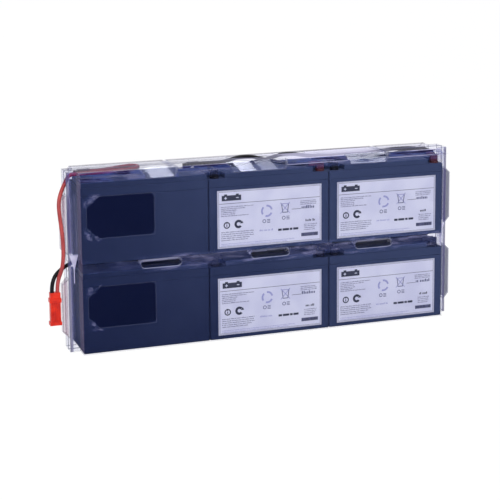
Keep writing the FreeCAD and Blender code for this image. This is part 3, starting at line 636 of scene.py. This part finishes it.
def folded(node, material, edge_material):
    """A stand-in for a half of the shell, with its folds rounded: broadly at the pockets' rims."""
    mesh = merged_copy(node)
    work = bmesh.new()
    work.from_mesh(mesh)
    widths = work.edges.layers.float.new("bevel_weight_edge")
    for edge in work.edges:
        if edge.calc_face_angle(0.0) > math.radians(FOLD_FROM):
            middle = (edge.verts[0].co + edge.verts[1].co) / (2 * MM)
            rim = (abs(middle.y) > BODY_SIDE - 0.1 and abs(middle.z - GAP_MIDDLE) < 8
                   and abs(middle.x) < POCKET_RIMS_END)
            edge[widths] = RIM_FOLD if rim else PLAIN_FOLD
    work.to_mesh(mesh)
    work.free()
    piece = new_piece(node + "_looks", mesh, [material, edge_material], [node])
    bevel = piece.modifiers.new("soft_folds", "BEVEL")
    bevel.width = FOLD_WIDTH * MM
    bevel.segments = 2
    bevel.limit_method = "WEIGHT"
    bevel.use_clamp_overlap = False
    bevel.material = 1
    baked(piece)
    low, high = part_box(node)
    for vertex in piece.data.vertices:
        vertex.co = [min(max(part, least), most)
                     for part, least, most in zip(vertex.co, low, high)]
    return smoothed(piece)


def smoothed(piece):
    """Smooth over what is round, with the flat faces kept flat."""
    piece.data.shade_smooth()
    piece.data.set_sharp_from_angle(angle=math.radians(SMOOTH_UNDER))
    piece.modifiers.new("flat_faces", "WEIGHTED_NORMAL").keep_sharp = True
    return baked(piece)


def dress(node, material):
    """A CAD node kept as it is, with a better finish."""
    data = nodes[node].data
    data.materials.clear()
    data.materials.append(material)


# ---- the label print ------------------------------------------------------------------------

class Print:
    """Flat shapes of ink laid on a label, in millimetres from its lower left corner."""

    def __init__(self, left, foot, face, way):
        self.left = left
        self.foot = foot
        self.face = face
        self.way = way
        self.work = bmesh.new()
        self.inks = []
        self.lift = PRINT_LIFT

    def point(self, u, v):
        return Vector((self.left + u * self.way, self.face - self.lift * self.way,
                       self.foot + v)) * MM

    def polygon(self, points, ink_name):
        if ink_name not in self.inks:
            self.inks.append(ink_name)
        face = self.work.faces.new([self.work.verts.new(self.point(*p)) for p in points])
        face.material_index = self.inks.index(ink_name)

    def over(self):
        """What follows is printed over what is there."""
        self.lift += OVERPRINT_LIFT

    def bar(self, u, v, wide, tall, ink_name):
        self.polygon([(u, v), (u + wide, v), (u + wide, v + tall), (u, v + tall)], ink_name)

    def frame(self, inset, line, width, height, ink_name):
        """A line round the label, so far in from its edges."""
        wide, tall = width - inset * 2, height - inset * 2
        self.bar(inset, inset, wide, line, ink_name)
        self.bar(inset, height - inset - line, wide, line, ink_name)
        self.bar(inset, inset, line, tall, ink_name)
        self.bar(width - inset - line, inset, line, tall, ink_name)

    def ring(self, u, v, radius, line, ink_name, start=0.0, end=360.0, steps=28):
        """A ring, or part of one, from start to end degrees."""
        def at(reach, step):
            angle = math.radians(start + (end - start) * step / steps)
            return u + reach * math.cos(angle), v + reach * math.sin(angle)
        inner = radius - line
        for step in range(steps):
            self.polygon([at(inner, step), at(radius, step), at(radius, step + 1),
                          at(inner, step + 1)], ink_name)

    def line_of_words(self, u, v, wide, tall, ink_name, chance):
        """A line of small print, as strokes grouped into words."""
        at = u
        while at < u + wide - tall:
            strokes = chance.randint(2, 8)
            for _ in range(strokes):
                stroke = tall * chance.uniform(0.28, 0.5)
                rise = tall * chance.choice((0.72, 0.72, 0.72, 1.0))
                if at + stroke > u + wide:
                    break
                self.bar(at, v, stroke, rise, ink_name)
                at += stroke + tall * 0.2
            at += tall * 0.45

    def make(self, name, inks):
        """The finished print, all of it facing away from its block."""
        mesh = bpy.data.meshes.new(name)
        for face in self.work.faces:
            face.normal_update()
        outwards = Vector((0, -self.way, 0))
        turned = [face for face in self.work.faces if face.normal.dot(outwards) < 0]
        bmesh.ops.reverse_faces(self.work, faces=turned)
        self.work.to_mesh(mesh)
        self.work.free()
        return new_piece(name, mesh, [inks[ink_name] for ink_name in self.inks])


def print_label(name, node, way, inks, seed):
    """Generic print in fields: a header band, small print, plain marks and a striped bar."""
    low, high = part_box(node)
    width, height = (high.x - low.x) / MM, (high.z - low.z) / MM
    left = (low.x if way > 0 else high.x) / MM
    face = (low.y if way > 0 else high.y) / MM
    p = Print(left, low.z / MM, face, way)
    chance = random.Random(seed)
    p.frame(0.5, 0.3, width, height, "grey_ink")
    p.frame(1.6, 0.35, width, height, "dark_ink")
    band = height - HEADER_BAND
    p.bar(2.4, band, width - 4.8, 0.5, "dark_ink")
    battery_mark(p, 5.5, band + 3.6)
    for u, first, step, widths, tall, ink_name in SMALL_PRINT:
        v = first + height if first < 0 else first
        for n, wide in enumerate(widths):
            p.line_of_words(u, v - n * step, wide, tall, ink_name, chance)
    reading_mark(p, 11.5, 27.5)
    turning_mark(p, 26.0, 28.0)
    arrows_mark(p, 61.5, 41.0)
    bin_mark(p, 84.5, 43.0)
    ring_and_bars(p, 55.8, 26.2)
    ring_and_bars(p, 80.3, 28.4)
    bold_bars(p, 75.5, 15.6)
    p.bar(93.0, 40.4, 12.0, 0.5, "dark_ink")
    p.bar(105.0, 6.6, 21.5, 4.2, "grey_ink")
    p.over()
    for n in range(STRIPES):
        p.bar(105.6 + n * STRIPE_PITCH, 7.1, chance.uniform(0.35, 1.05), 3.2, "dark_ink")
    return p.make(name, inks)


def battery_mark(p, u, v):
    """A plain picture of a battery: a case, two posts, a plus and a minus."""
    p.bar(u, v, 24.0, 6.4, "dark_ink")
    for post in (3.0, 17.5):
        p.bar(u + post, v + 6.4, 3.6, 1.5, "dark_ink")
    p.over()
    p.bar(u + 3.2, v + 2.8, 3.2, 0.9, "label")
    p.bar(u + 4.35, v + 1.65, 0.9, 1.15, "label")
    p.bar(u + 4.35, v + 3.7, 0.9, 1.15, "label")
    p.bar(u + 17.7, v + 2.8, 3.2, 0.9, "label")


def reading_mark(p, u, v):
    """A ring with an upright and a dot in it."""
    p.ring(u, v, 4.1, 1.4, "dark_ink")
    p.bar(u - 0.6, v - 2.0, 1.2, 2.8, "dark_ink")
    p.bar(u - 0.6, v + 1.4, 1.2, 1.1, "dark_ink")


def turning_mark(p, u, v):
    """A broad open ring that ends in a point."""
    p.ring(u, v, 5.1, 2.9, "dark_ink", 40, 320)
    p.polygon([(u + 1.6, v + 0.6), (u + 6.0, v + 0.6), (u + 4.4, v + 3.8)], "dark_ink")


def arrows_mark(p, u, v):
    """Three bent strokes in a ring."""
    for n in range(3):
        p.ring(u, v, 7.4, 2.3, "pale_ink", 120 * n + 12, 120 * n + 96, 10)


def bin_mark(p, u, v):
    """A lidded bin with a cross over it."""
    p.bar(u - 5.6, v + 4.6, 11.2, 0.9, "pale_ink")
    for side in (-1, 1):
        p.polygon([(u + 4.8 * side, v + 4.2), (u + 3.9 * side, v + 4.2),
                   (u + 2.6 * side, v - 5.4), (u + 3.5 * side, v - 5.4)], "grey_ink")
        p.polygon([(u - 6.4 * side, v - 6.4), (u - 5.5 * side, v - 6.8),
                   (u + 6.4 * side, v + 6.4), (u + 5.5 * side, v + 6.8)], "pale_ink")
    p.bar(u - 3.5, v - 5.8, 7.0, 0.9, "grey_ink")


def ring_and_bars(p, u, v):
    """A plain ring with three bars beside it."""
    p.ring(u + 2.4, v + 2.6, 2.3, 0.8, "grey_ink", steps=16)
    for n in range(3):
        p.bar(u + 5.8, v + 0.4 + n * 1.7, 4.0, 0.8, "grey_ink")


def bold_bars(p, u, v):
    """A field of bold bars in place of a name."""
    for start, wide in ((0.0, 4.6), (5.6, 8.2), (14.8, 3.4), (19.2, 6.6)):
        p.bar(u + start, v, wide, 2.6, "dark_ink")


# ---- the object -----------------------------------------------------------------------------

def dress_blocks(look):
    for row in ROWS:
        for column in COLUMNS:
            name = "%s_%s" % (row, column)
            softened(name + "_case", CASE_EDGE, look["block"])
            softened(name + "_lid", LID_EDGE, look["block"])
            softened(name + "_vent_cover", VENT_EDGE, look["block"])
            dress(name + "_label", look["label"])


def dress_terminals(look):
    for row in ROWS:
        dress(row + "_terminal_tabs", look["tinned"])
        dress(row + "_receptacles", look["tinned"])
        dress(row + "_positive_seals", look["red_seal" if row == "upper" else "black_boot"])
        dress(row + "_negative_seals", look["black_boot"])
        tone = "red_boot" if row == "upper" else "black_boot"
        softened(row + "_positive_boots", BOOT_EDGE, look[tone])
        softened(row + "_negative_boots", BOOT_EDGE, look["black_boot"])


def dress_wiring(look):
    for name in ("upper_left_to_middle_link", "upper_middle_to_right_link", "row_link",
                 "lower_right_to_middle_link", "lower_middle_to_left_link", "black_feed"):
        dress(name, look["black_wire"])
    dress("red_feed", look["red_feed"])


def lead(name, points, node, material):
    """A free lead: a round tube on one smooth spline through the points of its route."""
    curve = bpy.data.curves.new(name, "CURVE")
    curve.dimensions = "3D"
    curve.bevel_depth = WIRE_DIAMETER / 2 * MM
    curve.bevel_resolution = 5
    curve.resolution_u = 10
    curve.use_fill_caps = True
    spline = curve.splines.new("NURBS")
    spline.points.add(len(points) - 1)
    for place, (x, y, z) in zip(spline.points, points):
        place.co = (x * MM, y * MM, z * MM, 1.0)
    spline.order_u = 3
    spline.use_endpoint_u = True
    return new_piece(name, curve, [material], [node])


def dress_leads(look):
    plug = softened("connector_housing", PLUG_EDGE, look["nylon"], 3)
    dress("connector_contacts", look["tinned"])
    red = lead("red_lead_looks", RED_ROUTE, "red_lead", look["red_wire"])
    black = lead("black_lead_looks", BLACK_ROUTE, "black_lead", look["black_wire"])


def dress_shell(look):
    for half in ("front", "rear"):
        folded(half + "_shell", look["film"], look["film_edge"])


def dress_labels(look):
    """The print of each label; the left blocks turn theirs to the back."""
    for r, row in enumerate(ROWS):
        for c, column in enumerate(COLUMNS):
            name = "%s_%s_label" % (row, column)
            print_label(name + "_print", name, -1 if c == 0 else 1, look, 10 * r + c)


# ---- stage, light and camera ----------------------------------------------------------------

def backdrop_white(name, shade):
    """White to the camera, with a share of real shading left so that a shadow shows."""
    t = Tree(name)
    ray = t.add("ShaderNodeLightPath")
    lit = t.add("ShaderNodeBsdfDiffuse", inputs={"Color": (0.84, 0.85, 0.88, 1)})
    glow = t.add("ShaderNodeEmission", inputs={"Color": (1, 1, 1, 1), "Strength": 1.03})
    _, (_, y, _) = t.place()
    passed_on = t.term(ray, "Is Glossy Ray").most(t.term(ray, "Is Transmission Ray"))
    seen = t.term(ray, "Is Camera Ray").most(passed_on * y.ramp(-200.0, 300.0))
    return t.finish(t.add("ShaderNodeMixShader", inputs={0: seen * (1 - shade), 1: lit.outputs[0],
                                                         2: glow.outputs[0]}))


def stage():
    """A pale floor that sweeps up into a pale wall behind the part."""
    work = bmesh.new()
    profile = [(SWEEP_FRONT, 0.0), (SWEEP_FRONT / 2, 0.0), (BEND_START, 0.0)]
    for n in range(1, 11):
        turn = math.radians(9 * n)
        profile.append((BEND_START + BEND_RADIUS * math.sin(turn),
                        BEND_RADIUS - BEND_RADIUS * math.cos(turn)))
    profile.append((BEND_START + BEND_RADIUS, SWEEP_TOP))
    sides = [[work.verts.new((x, y, z)) for y, z in profile] for x in (-SWEEP_SIDE, SWEEP_SIDE)]
    for n in range(len(profile) - 1):
        work.faces.new((sides[0][n], sides[1][n], sides[1][n + 1], sides[0][n + 1]))
    mesh = bpy.data.meshes.new("sweep")
    work.to_mesh(mesh)
    work.free()
    mesh.shade_smooth()
    mesh.materials.append(backdrop_white("sweep", 0.05))
    placed("sweep", mesh)


def world():
    """Cool soft light all round, white to the camera."""
    t = Tree("studio", bpy.data.worlds, "ShaderNodeOutputWorld")
    ray = t.add("ShaderNodeLightPath")
    soft = t.add("ShaderNodeBackground", inputs={"Color": (0.80, 0.85, 1.0, 1), "Strength": 0.4})
    white = t.add("ShaderNodeBackground", inputs={"Color": (1, 1, 1, 1)})
    seen = t.term(ray, "Is Camera Ray")
    bpy.context.scene.world = t.finish(
        t.add("ShaderNodeMixShader", inputs={0: seen, 1: soft.outputs[0], 2: white.outputs[0]}))


def lights():
    for name, place, target, width, height, power in SOFTBOXES:
        data = bpy.data.lights.new(name, "AREA")
        data.shape = "RECTANGLE"
        data.size = width
        data.size_y = height
        data.energy = power
        lamp = placed(name, data)
        lamp.location = place
        lamp.rotation_euler = (Vector(target) - Vector(place)).to_track_quat("-Z", "Y").to_euler()


def camera():
    """A long lens from the front left, a little above the pack."""
    yaw, pitch, roll = (math.radians(angle) for angle in CAMERA_TURN)
    forward = Vector((math.sin(yaw) * math.cos(pitch), math.cos(yaw) * math.cos(pitch),
                      -math.sin(pitch)))
    across = Vector((math.cos(yaw), -math.sin(yaw), 0))
    upward = across.cross(forward)
    right = across * math.cos(roll) + upward * math.sin(roll)
    top = upward * math.cos(roll) - across * math.sin(roll)
    data = bpy.data.cameras.new("camera")
    data.sensor_width = CAMERA_SENSOR
    data.lens = CAMERA_LENS
    data.shift_y = CAMERA_SHIFT
    eye = placed("camera", data)
    turn = Matrix((right, top, -forward)).transposed()
    eye.matrix_world = Matrix.Translation(Vector(CAMERA_PLACE) * MM) @ turn.to_4x4()
    bpy.context.scene.camera = eye


bpy.context.scene.view_settings.view_transform = "Standard"
look = make_materials()
camera()
dress_leads(look)
dress_blocks(look)
dress_terminals(look)
dress_wiring(look)
dress_labels(look)
dress_shell(look)
stage()
world()
lights()
